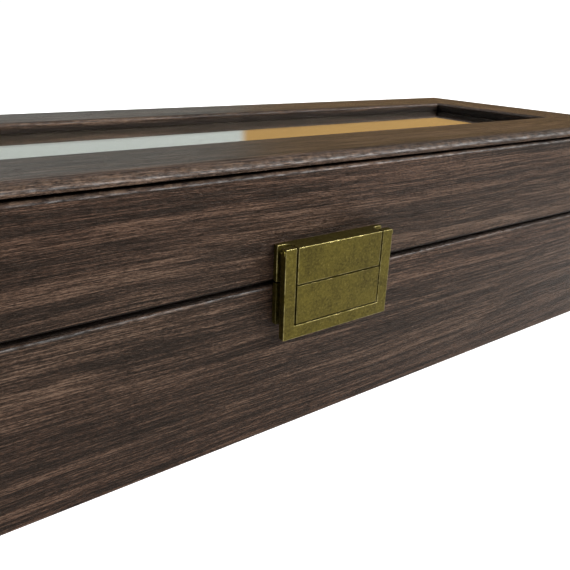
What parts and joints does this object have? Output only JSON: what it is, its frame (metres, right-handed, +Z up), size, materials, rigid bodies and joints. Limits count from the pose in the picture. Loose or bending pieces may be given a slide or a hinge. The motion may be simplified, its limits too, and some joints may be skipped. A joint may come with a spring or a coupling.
{
  "type": "watch box",
  "caption": "Rectangular watch box with a glass window in its hinged lid, one row of divided, cushioned compartments, and a swinging bail latch at the front.",
  "frame": {"origin": "on the table, at the middle of the felt under the case", "axes": "+Z up, +X along the front towards the right, -Y out of the front, where the latch is"},
  "size_m": [0.316, 0.1185, 0.08],
  "materials": {
    "walnut_wrap": "satin embossed dark walnut foil on fibreboard",
    "bottom_board": "plain fibreboard",
    "antique_brass": "mottled antique patina with bright worn edges",
    "hinge_brass": "antique brass, lightly tarnished",
    "window_glass": "clear polished",
    "velvet_lining": "short-pile velvet",
    "pillow_suede": "soft suede cloth over foam",
    "bottom_felt": "pressed felt"
  },
  "bodies": {
    "base": {"base_front_wall": "walnut_wrap", "base_right_wall": "walnut_wrap", "base_back_wall": "walnut_wrap", "base_left_wall": "walnut_wrap", "base_board": "bottom_board", "base_felt": "bottom_felt", "base_floor_lining": "velvet_lining", "base_front_lining": "velvet_lining", "base_right_lining": "velvet_lining", "base_back_lining": "velvet_lining", "base_left_lining": "velvet_lining", "divider_1": "velvet_lining", "divider_2": "velvet_lining", "divider_3": "velvet_lining", "divider_4": "velvet_lining", "divider_5": "velvet_lining", "hinge_left_base_leaf": "hinge_brass", "hinge_left_pin": "hinge_brass", "hinge_left_base_screw_1": "hinge_brass", "hinge_left_base_screw_2": "hinge_brass", "hinge_right_base_leaf": "hinge_brass", "hinge_right_pin": "hinge_brass", "hinge_right_base_screw_1": "hinge_brass", "hinge_right_base_screw_2": "hinge_brass", "latch_lower_block": "antique_brass"},
    "lid": {"lid_front_wall": "walnut_wrap", "lid_right_wall": "walnut_wrap", "lid_back_wall": "walnut_wrap", "lid_left_wall": "walnut_wrap", "lid_front_top_rail": "walnut_wrap", "lid_right_top_rail": "walnut_wrap", "lid_back_top_rail": "walnut_wrap", "lid_left_top_rail": "walnut_wrap", "window_glass": "window_glass", "window_front_stop": "velvet_lining", "window_right_stop": "velvet_lining", "window_back_stop": "velvet_lining", "window_left_stop": "velvet_lining", "lid_front_lining": "velvet_lining", "lid_right_lining": "velvet_lining", "lid_back_lining": "velvet_lining", "lid_left_lining": "velvet_lining", "hinge_left_lid_leaf": "hinge_brass", "hinge_left_lid_screw_1": "hinge_brass", "hinge_left_lid_screw_2": "hinge_brass", "hinge_right_lid_leaf": "hinge_brass", "hinge_right_lid_screw_1": "hinge_brass", "hinge_right_lid_screw_2": "hinge_brass", "latch_upper_block": "antique_brass", "bail_left_pin": "antique_brass", "bail_right_pin": "antique_brass"},
    "bail": {"latch_bail": "antique_brass"},
    "pillow_1": {"pillow_1": "pillow_suede"},
    "pillow_2": {"pillow_2": "pillow_suede"},
    "pillow_3": {"pillow_3": "pillow_suede"},
    "pillow_4": {"pillow_4": "pillow_suede"},
    "pillow_5": {"pillow_5": "pillow_suede"},
    "pillow_6": {"pillow_6": "pillow_suede"}
  },
  "joints": [
    {"name": "lid_hinge", "type": "hinge", "parent": "base", "child": "lid", "pos_m": [0, 0.0565, 0.04745], "axis": [-1, 0, 0], "range_deg": [0, 100]},
    {"name": "bail_swing", "type": "hinge", "parent": "lid", "child": "bail", "pos_m": [0, -0.0588, 0.0571], "axis": [-1, 0, 0], "range_deg": [0, 165]},
    {"name": "pillow_1_lift", "type": "slide", "parent": "base", "child": "pillow_1", "axis": [0, 0, 1], "range_m": [0, 0.022]},
    {"name": "pillow_2_lift", "type": "slide", "parent": "base", "child": "pillow_2", "axis": [0, 0, 1], "range_m": [0, 0.022]},
    {"name": "pillow_3_lift", "type": "slide", "parent": "base", "child": "pillow_3", "axis": [0, 0, 1], "range_m": [0, 0.022]},
    {"name": "pillow_4_lift", "type": "slide", "parent": "base", "child": "pillow_4", "axis": [0, 0, 1], "range_m": [0, 0.022]},
    {"name": "pillow_5_lift", "type": "slide", "parent": "base", "child": "pillow_5", "axis": [0, 0, 1], "range_m": [0, 0.022]},
    {"name": "pillow_6_lift", "type": "slide", "parent": "base", "child": "pillow_6", "axis": [0, 0, 1], "range_m": [0, 0.022]}
  ]
}
